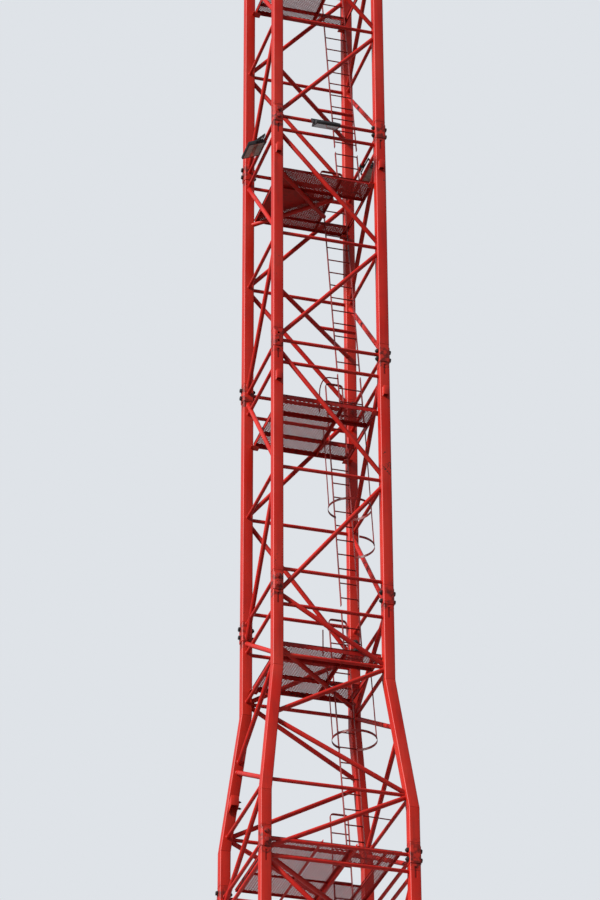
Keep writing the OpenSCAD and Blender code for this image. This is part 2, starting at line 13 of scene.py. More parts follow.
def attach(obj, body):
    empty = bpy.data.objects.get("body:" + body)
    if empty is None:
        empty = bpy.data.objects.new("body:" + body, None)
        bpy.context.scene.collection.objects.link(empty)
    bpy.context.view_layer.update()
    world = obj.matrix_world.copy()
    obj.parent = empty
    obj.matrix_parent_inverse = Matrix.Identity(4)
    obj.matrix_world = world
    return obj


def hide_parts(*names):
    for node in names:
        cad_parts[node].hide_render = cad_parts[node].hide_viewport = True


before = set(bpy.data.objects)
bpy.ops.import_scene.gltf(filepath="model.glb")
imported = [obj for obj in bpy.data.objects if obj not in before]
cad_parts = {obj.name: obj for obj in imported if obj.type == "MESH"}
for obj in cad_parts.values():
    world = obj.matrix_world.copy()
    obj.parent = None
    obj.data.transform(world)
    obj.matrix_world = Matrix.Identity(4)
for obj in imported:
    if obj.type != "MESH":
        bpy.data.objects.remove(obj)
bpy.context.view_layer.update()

# The mast
SECTIONS = ("foot", "taper", "lower", "middle", "upper")
SIDES = ("front", "right", "back", "left")
SECTION_H = 4.5
NARROW = 1.80
WIDE = 2.32
BENDS = (SECTION_H + 0.93, SECTION_H + 3.19)
CORNERS = {"front_left": (-1, -1), "front_right": (1, -1), "back_right": (1, 1), "back_left": (-1, 1)}
AXIS = Vector((WIDE / 2, WIDE / 2, 0))

# The chords, their joints and what is welded to them
CHORD = 0.17
CHORD_WALL = 0.012
CHORD_EDGE = 0.016
JOINT_GAP = 0.005
BEND_SEAM = 0.002
SPIGOT_UP = 0.32
SPIGOT_DOWN = 0.25
SPIGOT_WALL = 0.016
SPIGOT_EDGE = 0.010
SPIGOT_PLAY = 0.001
SOCKET_H = 0.35
SOCKET_SEAM = 0.001
PLATE = Vector((0.128, 0.012, 0.300))
PLATE_ROUND = 0.014
SLOT_W = 0.036
SLOT_H = 0.185
SLOT_DOWN = 0.05
LUG = Vector((0.086, 0.074, 0.165))
LUG_WALL = 0.012
LUG_Z = 3.92
# A deck cleat's side and thickness, and how far it reaches in from the chord
CLEAT = (0.147, 0.012)
CLEAT_REACH = 0.09
CLEAT_CHAMFER = 0.035
WELD = 0.006

# How far edges are eased: fins and panes, thin bars and washers, most parts, joint plates, folded plate
EASE_FINE = 0.001
EASE_THIN = 0.0015
EASE = 0.002
EASE_PLATE = 0.0025
EASE_FOLD = 0.003

# The joint bolts
BOLT_D = 0.040
BOLT_HOLE = 0.042
BOLT_ROWS = (0.09, 0.24)
HEAD_W = 0.065
HEAD_H = 0.026
HEAD_EASE = 0.0035
# A washer's diameter and thickness
WASHER = (0.084, 0.008)
# The thread past a nut: its length and depth, its ridge's margins, pitch, points in a turn, and radius
THREAD = 0.014
THREAD_DEPTH = 0.001
THREAD_ENDS = (0.001, 0.002)
THREAD_PITCH = 0.004
THREAD_STEPS = 24
THREAD_R = 0.0011

# The tubes of the sides
BRACE_R = 0.038
TIE_R = 0.030
TIE_FOOT = 0.165
RING = 2.28
SPLIT = 0.04
# Heights in a section of its head tie and of its two diagonals' ends at the foot and at the head
STRAIGHT = {"head": SECTION_H - 0.11, "low": 0.215, "high": SECTION_H - 0.125}
LOWER = {"head": SECTION_H - 0.25, "low": -0.025, "high": SECTION_H + 0.02}
LOWER_TIE_FOOT = {"front": 0.425, "right": 0.425, "back": 0.545, "left": 0.320}
TAPER_TIE_HEAD = SECTION_H - 0.2
# The tapered side's lower knee, apex and upper knee lie this far above the bends and their middle
TAPER_RISE = (0.225, 0.240, 0.230)
PLAN_Z = 1.20
PLAN_BITE = 0.05
FOOT_PLAN_Z = 4.43
BEAM_LEAF_T = 0.006

# The decks
DECK_Z = {"taper": 3.69, "lower": 3.69, "middle": 3.67, "upper": 3.69}
RIM = {"foot": 0.04, "taper": 0.08, "lower": 0.08, "middle": 0.05, "upper": 0.08}
RIM_T = 0.008
LEAF = 0.045
LEAF_DROP = 0.003
BAR_STEP = 0.0008
FOOT_DECK_EDGE = 1.02
DECK_GAP = 0.002
# A hatch's sides, how far it ends behind its ladder's head, and how far it starts behind the next one's foot
HATCH_X = (0.27, 0.79)
HATCH_BEHIND = 0.040
HATCH_LEDGE = 0.036
# Expanded mesh: the long and the short way of a diamond, and the width of a strand
DIAMOND = (0.076, 0.038)
STRAND = {"foot": 0.024, "taper": 0.024, "lower": 0.024, "middle": 0.034, "upper": 0.024}
SHEET = 0.007
SHEET_GAP = 0.004
SHEET_DROP = 0.001
# The middle deck's plain sheet: the depths of its two faces, and how far right its point lies
PLAIN_SHEET = (0.0095, 0.0065)
PLAIN_APEX = -0.05
PLAIN_EASE = 0.0008

# The ladders: their left side in X, their width, and their place in Y at the foot and at the deck above
LADDER_X = 0.345
LADDER_W = {"foot": 0.30, "taper": 0.30, "lower": 0.30, "middle": 0.40, "upper": 0.40}
LADDER_FOOT = {"foot": -0.40, "taper": -0.44, "lower": -0.40, "middle": -0.33, "upper": -0.33}
LADDER_HEAD = {"foot": 0.30, "taper": 0.225, "lower": 0.34, "middle": 0.51, "upper": 0.51}
LADDER_OVER = 1.21
# A stile's thickness and width
STILE = (0.010, 0.050)
RUNG_R = 0.011
RUNG_PITCH = 0.295
LOOP_R = 0.06
# A ladder is parted this far above the joint that it passes, with the mast's sections
LADDER_PART = (0.162, 0.290)
LADDER_TRIM = 0.0005

# A stay between the taper's ladder and its right side, and two guard posts
GUARD_R = 0.010
STAY_SKEW = 0.03
POST_AT = (-0.045, -0.52)
POST_H = 0.455
BENT_POST_AT = (-0.055, -0.45)
BENT_POST_R = 0.011
BENT_POST_H = 0.350
BENT_POST_LEAN = 0.003
BENT_POST_BOW = (0.165, 0.34)
BENT_POST_END = Vector((0.32, 0, 0.694))

# The hood on the taper's back left chord, with a sloping roof and two studs
HOOD = Vector((0.130, 0.170, 0.165))
HOOD_Z = 6.115
HOOD_SLOPE = 0.45
STUD_R = 0.011
STUD_ENDS = (-0.02, 0.055)
STUD_HEIGHTS = (-0.02, 0.09)
# A stud's nut: its width and height, and where the two nuts sit along the stud
STUD_NUT = (0.034, 0.016)
STUD_NUTS_AT = (0, 0.022)

# The floodlights
LAMP = Vector((0.42, 0.33, 0.085))
LAMP_RIM = 0.018
LAMP_CHAMFER = 0.030
LAMP_SINK = 0.007
# The heights of the pane's two faces above the housing's lower edge
PANE_Z = (0.0015, 0.0065)
LAMP_OUT = 0.20
LAMP_DROP = 0.17
LAMP_SHIFT = 0.095
LAMP_TILT = math.radians(25)
YOKE_GAP = 0.008
YOKE_T = 0.008
PIVOT_R = 0.010
# A pivot knob's width and thickness
KNOB = (0.030, 0.0075)
# The cooling fins: half their thickness and their height, and how far they keep from the sides and ends
FINS = 11
FIN = (0.002, 0.014)
FIN_SIDE = 0.04
FIN_END = 0.055
# How far fins and pivots reach into the housing
LAMP_BITE = 0.002

# The photograph's camera, fitted to the mast's joints
CAMERA_AT = Vector((-12.968, -46.031, -17.385))
CAMERA_YAW = math.radians(16.382)
CAMERA_PITCH = math.radians(31.022)
CAMERA_ROLL = math.radians(-0.202)
CAMERA_LENS = 141.11

# The studio's floor, and where its sun stands
FLOOR_R = 8.0
FLOOR_T = 0.02
FLOOR_DROP = 0.002
SUN_FROM = Vector((-1.0, -0.34, 0.58))
SUN_POWER = 5.9
SUN_SPREAD = math.radians(10)


def make_camera():
    """The camera stands at the photograph's place and looks up the mast."""
    data = bpy.data.cameras.new("camera")
    camera = bpy.data.objects.new("camera", data)
    bpy.context.scene.collection.objects.link(camera)
    ahead = Vector((math.sin(CAMERA_YAW) * math.cos(CAMERA_PITCH),
                    math.cos(CAMERA_YAW) * math.cos(CAMERA_PITCH),
                    math.sin(CAMERA_PITCH)))
    across = Vector((math.cos(CAMERA_YAW), -math.sin(CAMERA_YAW), 0))
    upwards = across.cross(ahead)
    roll = Matrix.Rotation(CAMERA_ROLL, 3, -ahead)
    across, upwards = roll @ across, roll @ upwards
    turn = Matrix((across, upwards, -ahead)).transposed().to_4x4()
    camera.matrix_world = Matrix.Translation(CAMERA_AT) @ turn
    data.lens = CAMERA_LENS
    data.sensor_width = 36
    data.clip_end = 500
    bpy.context.scene.camera = camera


# Materials

def linear(code):
    """The linear colour of an sRGB hex code."""
    values = [int(code[i:i + 2], 16) / 255 for i in (1, 3, 5)]
    return tuple(v / 12.92 if v <= 0.04045 else ((v + 0.055) / 1.055) ** 2.4 for v in values) + (1.0,)


def add_node(owner, kind, inputs=None, **settings):
    """Adds a node with its settings; an input is a value or another node's output."""
    node = owner.node_tree.nodes.new(kind)
    for name, value in settings.items():
        setattr(node, name, value)
    for name, value in (inputs or {}).items():
        if isinstance(value, bpy.types.NodeSocket):
            owner.node_tree.links.new(value, node.inputs[name])
        else:
            node.inputs[name].default_value = value
    return node


def ramp(owner, factor, stops):
    """A colour ramp through pairs of place and hex colour."""
    node = add_node(owner, "ShaderNodeValToRGB", {"Fac": factor})
    band = node.color_ramp
    while len(band.elements) < len(stops):
        band.elements.new(0.5)
    for element, (place, code) in zip(band.elements, stops):
        element.position = place
        element.color = linear(code)
    return node.outputs["Color"]


def noise(owner, place, scale, detail=3.0):
    return add_node(owner, "ShaderNodeTexNoise", {
        "Vector": place, "Scale": scale, "Detail": detail}).outputs["Fac"]


def mask(owner, value, low, high, top=1.0):
    """A value's climb from low to high, as a factor from 0 to top."""
    return add_node(owner, "ShaderNodeMapRange", {
        "Value": value, "From Min": low, "From Max": high, "To Max": top}).outputs["Result"]


def mix(owner, factor, a, b):
    """Mixes two colours, each a hex code or another node's output."""
    a, b = [linear(c) if isinstance(c, str) else c for c in (a, b)]
    return add_node(owner, "ShaderNodeMix", {
        "Factor": factor, "A": a, "B": b}, data_type="RGBA").outputs["Result"]


def maths(owner, operation, a, b):
    return add_node(owner, "ShaderNodeMath", {0: a, 1: b}, operation=operation).outputs["Value"]


def new_material(name):
    material = bpy.data.materials.new(name)
    material.use_nodes = True
    shader = material.node_tree.nodes["Principled BSDF"]
    place = add_node(material, "ShaderNodeTexCoord").outputs["Object"]
    return material, shader, place


def link(material, source, shader, name):
    material.node_tree.links.new(source, shader.inputs[name])


def roughen(material, shader, value, low, high):
    """Roughness that climbs from low to high with a value."""
    node = add_node(material, "ShaderNodeMapRange", {"Value": value, "To Min": low, "To Max": high})
    link(material, node.outputs["Result"], shader, "Roughness")


def bump(material, shader, height, strength, distance):
    node = add_node(material, "ShaderNodeBump", {
        "Height": height, "Strength": strength, "Distance": distance})
    link(material, node.outputs["Normal"], shader, "Normal")


# What weather and work leave on the enamel
SOOT = "#3c0f0c"
DUST = "#6b2a22"
RUST = "#40201a"
GREASE = "#3d110b"


def red_enamel(name, fresh, faded, dirt, wear, joint_soot=0.0):
    """Brushed alkyd enamel on structural steel: it bleaches in patches, runs hold soot, and chips rust."""
    material, shader, place = new_material(name)
    # Bleached patches are a metre or so long
    cloud = noise(material, place, 1.1, 5.0)
    paint = ramp(material, cloud, [(0.36, fresh), (0.70, faded)])
    # Runs of soot are a few centimetres wide and most of a metre long
    tall = add_node(material, "ShaderNodeMapping", {
        "Vector": place, "Scale": (15.0, 15.0, 1.2)}).outputs["Vector"]
    runs = mask(material, noise(material, tall, 1.0, 6.0), 0.50, 0.74, dirt)
    paint = mix(material, runs, paint, SOOT)
    # Dust settles in blotches a hand wide
    blotches = mask(material, noise(material, place, 7.0, 6.0), 0.52, 0.80, dirt * 0.7)
    paint = mix(material, blotches, paint, DUST)
    # Chips down to primer and rust are one to three centimetres across, and they come in patches
    chips = maths(material, "MULTIPLY", noise(material, place, 38.0), noise(material, place, 2.2, 2.0))
    paint = mix(material, mask(material, chips, wear, wear + 0.02), paint, RUST)
    if joint_soot:
        # Grease and soot gather from 0.12 m under each joint of the mast to 0.22 m above it, and thin out
        # over as much again
        height = add_node(material, "ShaderNodeSeparateXYZ", {"Vector": place}).outputs["Z"]
        height = maths(material, "MODULO", maths(material, "ADD", height, 0.12), SECTION_H)
        soot = maths(material, "MULTIPLY", mask(material, height, 0.56, 0.34, joint_soot),
                     mask(material, noise(material, place, 13.0, 6.0), 0.44, 0.60))
        paint = mix(material, soot, paint, GREASE)
    link(material, paint, shader, "Base Color")
    roughen(material, shader, cloud, 0.34, 0.52)
    shader.inputs["Specular IOR Level"].default_value = 0.3
    bump(material, shader, noise(material, place, 60.0, 2.0), 0.15, 0.002)
    return material


def powder_coat():
    """Black powder coat on sheet and cast metal: near black, a little grey where dust lies."""
    material, shader, place = new_material("black_powder_coat")
    dust = noise(material, place, 9.0, 6.0)
    link(material, ramp(material, dust, [(0.4, "#141416"), (0.8, "#26272a")]), shader, "Base Color")
    roughen(material, shader, dust, 0.45, 0.7)
    bump(material, shader, noise(material, place, 240.0, 1.0), 0.1, 0.001)
    return material


def bolt_finish():
    """Black oxide on forged bolts; those of the front left chord were brushed over with red enamel."""
    material, shader, place = new_material("black_oxide_on_forged_steel")
    grime = noise(material, place, 30.0, 5.0)
    oxide = ramp(material, grime, [(0.4, "#141416"), (0.75, "#3a2a22")])
    brushed = ramp(material, grime, [(0.45, "#9c1a10"), (0.68, "#42140f")])
    xyz = add_node(material, "ShaderNodeSeparateXYZ", {"Vector": place}).outputs
    # The front left chord is the only one within half the mast's width of the origin
    near = maths(material, "LESS_THAN", maths(material, "ADD", xyz["X"], xyz["Y"]), WIDE / 2)
    link(material, mix(material, near, oxide, brushed), shader, "Base Color")
    shader.inputs["Roughness"].default_value = 0.5
    bump(material, shader, grime, 0.3, 0.002)
    return material


def lamp_glass():
    """Toughened float glass over a pale reflector: dusty, and bright where the sky grazes it."""
    material, shader, place = new_material("dusty_float_glass")
    dust = noise(material, place, 14.0, 5.0)
    link(material, ramp(material, dust, [(0.35, "#78736a"), (0.75, "#a6a092")]), shader, "Base Color")
    shader.inputs["Roughness"].default_value = 0.12
    shader.inputs["Coat Weight"].default_value = 1.0
    return material


# Modelling

def select_only(*pieces):
    if bpy.context.mode != "OBJECT":
        bpy.ops.object.mode_set(mode="OBJECT")
    bpy.ops.object.select_all(action="DESELECT")
    for piece in pieces:
        piece.select_set(True)
    if pieces:
        bpy.context.view_layer.objects.active = pieces[-1]


def settle():
    """Moves the new primitive's place into its mesh."""
    bpy.ops.object.transform_apply(location=True, rotation=True, scale=True)
    return bpy.context.object


def apply(piece, kind, **settings):
    """Adds a modifier to the piece and applies it."""
    select_only(piece)
    modifier = piece.modifiers.new(kind, kind)
    for name, value in settings.items():
        setattr(modifier, name, value)
    bpy.ops.object.modifier_apply(modifier=modifier.name)
    return piece


def ease(piece, width, degrees=60, segments=2):
    """Rounds the edges that turn by more than the angle."""
    return apply(piece, "BEVEL", width=width, segments=segments, limit_method="ANGLE",
                 angle_limit=math.radians(degrees))


def join(name, pieces):
    select_only(*pieces)
    if len(pieces) > 1:
        bpy.ops.object.join()
    piece = bpy.context.object
    piece.name = name
    piece.data.name = name
    return piece


def smooth(piece, degrees=35):
    select_only(piece)
    bpy.ops.object.shade_smooth_by_angle(angle=math.radians(degrees))
    return piece


def copied(piece, matrix, name="copy"):
    """A copy with its own mesh, moved by the matrix."""
    new = piece.copy()
    new.data = piece.data.copy()
    new.data.transform(matrix)
    new.name = name
    bpy.context.scene.collection.objects.link(new)
    return new


def pick(piece, kind, test):
    """Goes into edit mode and selects the faces or edges that pass the test."""
    select_only(piece)
    bpy.ops.object.mode_set(mode="EDIT")
    bpy.ops.mesh.select_mode(type=kind)
    bpy.ops.mesh.select_all(action="DESELECT")
    mesh = bmesh.from_edit_mesh(piece.data)
    for part in (mesh.faces if kind == "FACE" else mesh.edges):
        if test(part):
            part.select_set(True)
    bmesh.update_edit_mesh(piece.data)


def bisect(piece, at, normal, clear=True, fill=False):
    """Cuts all of the piece at a plane, and drops what lies beyond it or keeps both sides."""
    select_only(piece)
    bpy.ops.object.mode_set(mode="EDIT")
    bpy.ops.mesh.select_all(action="SELECT")
    bpy.ops.mesh.bisect(plane_co=at, plane_no=normal, use_fill=fill, clear_outer=clear)
    bpy.ops.object.mode_set(mode="OBJECT")


def finish_piece(piece, material, body="mast", nodes=()):
    """Moves the piece to the mast's axis, gives it its material and body, and hides the CAD nodes that it
    stands in for.
    """
    piece.data.transform(Matrix.Translation(AXIS))
    piece.data.materials.clear()
    piece.data.materials.append(material)
    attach(piece, body)
    if nodes:
        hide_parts(*nodes)
    return piece


def block(low, high, edge=EASE):
    """A bar or plate from one corner to the other, with its edges eased."""
    low, high = Vector(low), Vector(high)
    bpy.ops.mesh.primitive_cube_add(size=1, location=(low + high) / 2, scale=high - low)
    piece = settle()
    if edge:
        apply(piece, "BEVEL", width=edge, segments=1)
    return piece


def drill(a, b, radius, sides=32):
    """A round cutter from a to b."""
    a, b = Vector(a), Vector(b)
    turn = (b - a).to_track_quat("Z", "Y").to_euler()
    bpy.ops.mesh.primitive_cylinder_add(vertices=sides, radius=radius, depth=(b - a).length,
                                        location=(a + b) / 2, rotation=turn)
    return settle()


def tube(a, b, radius, sides=20):
    """A round bar from a to b with its ends' edges eased."""
    return ease(drill(a, b, radius, sides), radius / 12)


def square_tube(low, high, width, wall, edge):
    """A square hollow section with round corners, whose ends stay level where it leans."""
    low, high = Vector(low), Vector(high)
    middle = (low.z + high.z) / 2
    bpy.ops.mesh.primitive_cube_add(size=1, location=(low.x, low.y, middle),
                                    scale=(width, width, high.z - low.z))
    piece = settle()
    pick(piece, "FACE", lambda face: abs(face.normal.z) > 0.5)
    bpy.ops.mesh.delete(type="ONLY_FACE")
    pick(piece, "EDGE", lambda one: abs(one.verts[0].co.z - one.verts[1].co.z) > width)
    bpy.ops.mesh.bevel(offset=edge, segments=4)
    bpy.ops.object.mode_set(mode="OBJECT")
    lean = Vector((high.x - low.x, high.y - low.y, 0))
    for vertex in piece.data.vertices:
        if vertex.co.z > middle:
            vertex.co += lean
    return apply(piece, "SOLIDIFY", thickness=wall, offset=-1)


def cut(piece, cutters):
    """Takes the cutters out of the piece."""
    cutter = join("cutter", cutters)
    apply(piece, "BOOLEAN", object=cutter, operation="DIFFERENCE", solver="EXACT")
    bpy.data.objects.remove(cutter)
    return piece


def along_runs(runs, closed=False, **settings):
    """A mesh from a curve with these settings along runs of points."""
    curve = bpy.data.curves.new("strand", "CURVE")
    for name, value in settings.items():
        setattr(curve, name, value)
    for run in runs:
        line = curve.splines.new("POLY")
        line.points.add(len(run) - 1)
        for point, place in zip(line.points, run):
            point.co = (*place, 1)
        line.use_cyclic_u = closed
    piece = bpy.data.objects.new("strand", curve)
    bpy.context.scene.collection.objects.link(piece)
    select_only(piece)
    bpy.ops.object.convert(target="MESH")
    return bpy.context.object


def strands(runs, radius, closed=True):
    """Round beads or wires along runs of points, as one mesh."""
    return along_runs(runs, closed, dimensions="3D", bevel_depth=radius, bevel_resolution=1)


def flat_bar(runs, width, thickness):
    """Flat bars on edge along level runs of points: width is their height, thickness their wall."""
    runs = [[(x, y, 0) for x, y in run] for run in runs]
    piece = along_runs(runs, dimensions="2D", fill_mode="NONE", extrude=width / 2)
    apply(piece, "SOLIDIFY", thickness=thickness, offset=0)
    return apply(piece, "BEVEL", width=EASE_THIN, segments=1)


def lift(height):
    return Vector((0, 0, height))


def circle(centre, across, up, count=24):
    """Points round a circle or an ellipse whose half axes are two vectors."""
    turns = [2 * math.pi * k / count for k in range(count)]
    return [centre + across * math.cos(t) + up * math.sin(t) for t in turns]


# The mast's lines

def half_spacing(z):
    """Half the distance of the chord centres at height z."""
    if z <= BENDS[0]:
        return WIDE / 2
    if z >= BENDS[1]:
        return NARROW / 2
    return (WIDE + (NARROW - WIDE) * (z - BENDS[0]) / (BENDS[1] - BENDS[0])) / 2


def half_clear(z):
    return half_spacing(z) - CHORD / 2


def chord_at(corner, z):
    return Vector((corner[0] * half_spacing(z), corner[1] * half_spacing(z), z))


def deck_top(section):
    if section == "foot":
        return SECTION_H + TIE_FOOT + TIE_R + 2 * RIM["foot"]
    return SECTIONS.index(section) * SECTION_H + DECK_Z[section]


def ladder_foot_z(section):
    k = SECTIONS.index(section)
    return deck_top(SECTIONS[k - 1]) if k else 0.0


def ladder_lean(section):
    return (LADDER_HEAD[section] - LADDER_FOOT[section]) / (deck_top(section) - ladder_foot_z(section))


def ladder_y(section, z):
    return LADDER_FOOT[section] + ladder_lean(section) * (z - ladder_foot_z(section))


def hatch(section):
    """The hatch's front and back edge."""
    above = SECTIONS[min(SECTIONS.index(section) + 1, 4)]
    return LADDER_FOOT[above] + HATCH_LEDGE, LADDER_HEAD[section] + HATCH_BEHIND


def bolt_line(corner):
    """The way out of the mast along a corner's bolts."""
    return Vector((0, corner[1], 0)) if corner[0] == corner[1] else Vector((corner[0], 0, 0))


# Chords

def square_ring(at, half, edge):
    """Points round a square tube's outside, level, with three on each round corner."""
    points = []
    for k, (x, y) in enumerate(((1, 1), (-1, 1), (-1, -1), (1, -1))):
        middle = Vector(((half - edge) * x, (half - edge) * y, 0))
        for t in (0, 45, 90):
            turn = math.radians(90 * k + t)
            points.append(at + middle + Vector((math.cos(turn), math.sin(turn), 0)) * edge)
    return points


def joint_plate(corner, z):
    """The plate around a joint's bolts, with round corners, and its weld."""
    out = bolt_line(corner)
    along = Vector((abs(out.y), abs(out.x), 0))
    middle = chord_at(corner, z) + out * (CHORD + PLATE.y) / 2 + lift(PLATE.z / 2)
    size = along * PLATE.x + Vector((abs(out.x), abs(out.y), 0)) * PLATE.y + lift(PLATE.z)
    plate = block(middle - size / 2, middle + size / 2, edge=0)
    pick(plate, "EDGE", lambda edge: abs((edge.verts[0].co - edge.verts[1].co).normalized().dot(out)) > 0.9)
    bpy.ops.mesh.bevel(offset=PLATE_ROUND, segments=4)
    bpy.ops.object.mode_set(mode="OBJECT")
    face = middle - out * PLATE.y / 2
    side, up = along * PLATE.x / 2, lift(PLATE.z / 2)
    weld = [face + side + up, face - side + up, face - side - up, face + side - up]
    return ease(plate, EASE_PLATE), weld


def climbing_lug(corner, z):
    """The hood that a climbing frame takes hold of, open below, and its weld."""
    out = corner[1]
    at = chord_at(corner, z) + Vector((0, out * (CHORD + LUG.y) / 2, 0))
    lug = block(at - LUG / 2, at + LUG / 2, edge=0)
    pick(lug, "FACE", lambda face: face.normal.z < -0.5 or face.normal.y * out < -0.5)
    bpy.ops.mesh.delete(type="ONLY_FACE")
    bpy.ops.object.mode_set(mode="OBJECT")
    apply(lug, "SOLIDIFY", thickness=LUG_WALL, offset=-1, use_even_offset=True)
    face = at - Vector((0, out * LUG.y / 2, 0))
    side, up = Vector((LUG.x / 2, 0, 0)), lift(LUG.z / 2)
    weld = [face - side - up, face - side + up, face + side + up, face + side - up]
    return ease(lug, EASE_FOLD, 50), weld


def deck_cleat(section, corner):
    """The plate on a chord's inner corner that carries the deck."""
    z = deck_top(section) - RIM[section]
    reach = half_clear(z) - CLEAT_REACH
    low = [min(corner[k] * reach, corner[k] * (reach + CLEAT[0])) for k in (0, 1)]
    plate = block((low[0], low[1], z - CLEAT[1]), (low[0] + CLEAT[0], low[1] + CLEAT[0], z), edge=0)

    def inner_corner(edge):
        """Whether an edge stands upright on the corner towards the mast's axis."""
        at = edge.verts[0].co
        upright = abs(at.z - edge.verts[1].co.z) > CLEAT[1] / 2
        return upright and at.x * corner[0] < reach + WELD and at.y * corner[1] < reach + WELD

    pick(plate, "EDGE", inner_corner)
    bpy.ops.mesh.bevel(offset=CLEAT_CHAMFER, segments=1)
    bpy.ops.object.mode_set(mode="OBJECT")
    return ease(plate, EASE, segments=1)


def bolt_drill(corner, z):
    """A round cutter through a chord for each of its joint's two bolts."""
    out = bolt_line(corner) * CHORD
    rows = [chord_at(corner, z) + lift(height) for height in BOLT_ROWS]
    return [drill(at - out, at + out, BOLT_HOLE / 2) for at in rows]


def has_cleat(section, corner):
    """Beams carry the foot's deck, and tubes in plan carry two others at some corners."""
    return {"foot": False, "taper": corner[0] != corner[1], "middle": corner[0] > 0}.get(section, True)


def spigot(corner, z):
    """The square tube inside a joint, which stands up out of the lower chord."""
    at = chord_at(corner, z)
    return square_tube(at - lift(SPIGOT_DOWN), at + lift(SPIGOT_UP),
                       CHORD - 2 * CHORD_WALL - 2 * SPIGOT_PLAY, SPIGOT_WALL, SPIGOT_EDGE)


def chord(section, corner, lost_bolts):
    """One chord of a section with its joint plate, slot, lug, cleat and welds."""
    k = SECTIONS.index(section)
    low, high = k * SECTION_H, (k + 1) * SECTION_H
    start = low + (SOCKET_H if section == "foot" else JOINT_GAP)
    stops = [start, *(BENDS if section == "taper" else ()), high - JOINT_GAP]
    tubes = [square_tube(chord_at(corner, a + BEND_SEAM), chord_at(corner, b - BEND_SEAM),
                         CHORD, CHORD_WALL, CHORD_EDGE) for a, b in zip(stops, stops[1:])]
    slot_at = chord_at(corner, high - SLOT_DOWN - SLOT_H / 2) + Vector((0, corner[1] * CHORD / 2, 0))
    slot_size = Vector((SLOT_W, 2 * CHORD_WALL, SLOT_H)) / 2
    cut(tubes[-1], [block(slot_at - slot_size, slot_at + slot_size, edge=0)])
    extras, welds = [], []
    if section != "foot":
        plate, weld = joint_plate(corner, low)
        extras.append(plate)
        welds.append(weld)
        if lost_bolts:
            for part in (tubes[0], plate):
                cut(part, bolt_drill(corner, low))
    # A bead's middle lies a third of its radius under the chord's faces
    welds.append(square_ring(chord_at(corner, low + SOCKET_H), CHORD / 2 - WELD / 3, CHORD_EDGE))
    if section in ("lower", "middle", "upper"):
        lug, weld = climbing_lug(corner, low + LUG_Z)
        extras.append(lug)
        welds.append(weld)
    if has_cleat(section, corner):
        extras.append(deck_cleat(section, corner))
    top = spigot(corner, high)
    if section == "upper" or (section == "lower" and corner == CORNERS["front_left"]):
        cut(top, bolt_drill(corner, high))
    return [*tubes, *extras, top, strands(welds, WELD)]


def make_chords(section):
    pieces = []
    for name, corner in CORNERS.items():
        pieces += chord(section, corner, section == "middle" and name == "front_left")
    piece = smooth(join(f"{section}_section_chords", pieces))
    return finish_piece(piece, ENAMEL_CHORD, nodes=[f"{section}_chords"])


def make_sockets():
    """The sockets at the foot, with their bolt holes open for the section below."""
    sockets = []
    for corner in CORNERS.values():
        socket = square_tube(chord_at(corner, 0), chord_at(corner, SOCKET_H - SOCKET_SEAM),
                             CHORD, CHORD_WALL, CHORD_EDGE)
        sockets.append(cut(socket, bolt_drill(corner, 0)))
    return finish_piece(smooth(join("foot_joint_sockets", sockets)), ENAMEL_CHORD,
                        nodes=["foot_sockets"])


# Joint bolts

def hexagon(width, height, z):
    """A bolt's head or nut: six sides, with its corners turned off on top."""
    bpy.ops.mesh.primitive_cylinder_add(vertices=6, radius=width / math.sqrt(3), depth=height,
                                        location=(0, 0, z + height / 2))
    return ease(settle(), HEAD_EASE, 70)


def washer(z):
    bpy.ops.mesh.primitive_cylinder_add(vertices=40, radius=WASHER[0] / 2, depth=WASHER[1],
                                        location=(0, 0, z + WASHER[1] / 2))
    return ease(settle(), EASE_THIN)


def thread_end(z):
    """The thread that shows past a nut, drawn with a coarse pitch so that it shows."""
    radius = BOLT_D / 2 - THREAD_DEPTH
    bpy.ops.mesh.primitive_cylinder_add(vertices=28, radius=radius, depth=THREAD,
                                        location=(0, 0, z + THREAD / 2))
    core = ease(settle(), EASE, segments=1)
    steps = int(THREAD / THREAD_PITCH * THREAD_STEPS)
    helix = []
    for n in range(steps):
        turn = 2 * math.pi * n / THREAD_STEPS
        helix.append(Vector((math.cos(turn) * radius, math.sin(turn) * radius,
                             z + THREAD_ENDS[0] + (THREAD - sum(THREAD_ENDS)) * n / steps)))
    return [core, strands([helix], THREAD_R, closed=False)]


def joint_bolt():
    """A bolt along +Z with its head outwards, at +Z, and its nut inwards."""
    out = CHORD / 2 + PLATE.y
    parts = [washer(out), hexagon(HEAD_W, HEAD_H, out + WASHER[1]),
             tube((0, 0, -CHORD / 2), (0, 0, out), BOLT_D / 2, sides=28)]
    inner = [washer(CHORD / 2), hexagon(HEAD_W, HEAD_H, CHORD / 2 + WASHER[1]),
             *thread_end(CHORD / 2 + WASHER[1] + HEAD_H)]
    turned = join("inner", inner)
    turned.data.transform(Matrix.Rotation(math.pi, 4, "X"))
    return smooth(join("bolt", [*parts, turned]), 30)


def make_bolts():
    """Two bolts through each chord at each joint, but the middle joint's front left chord has lost both."""
    model = joint_bolt()
    bolts = []
    for k in range(1, 5):
        for name, corner in CORNERS.items():
            for row, height in enumerate(BOLT_ROWS):
                if (k, name) != (3, "front_left"):
                    way = bolt_line(corner).to_track_quat("Z", "Y").to_matrix().to_4x4()
                    # Tightening leaves each row's heads at a turn of their own
                    spin = Matrix.Rotation(math.radians(17 + 23 * k + 31 * row), 4, "Z")
                    place = Matrix.Translation(chord_at(corner, k * SECTION_H) + lift(height))
                    bolts.append(copied(model, place @ way @ spin))
    bpy.data.objects.remove(model)
    return finish_piece(join("chord_joint_bolts", bolts), BOLT_STEEL, nodes=["joint_bolts"])


# Bracing

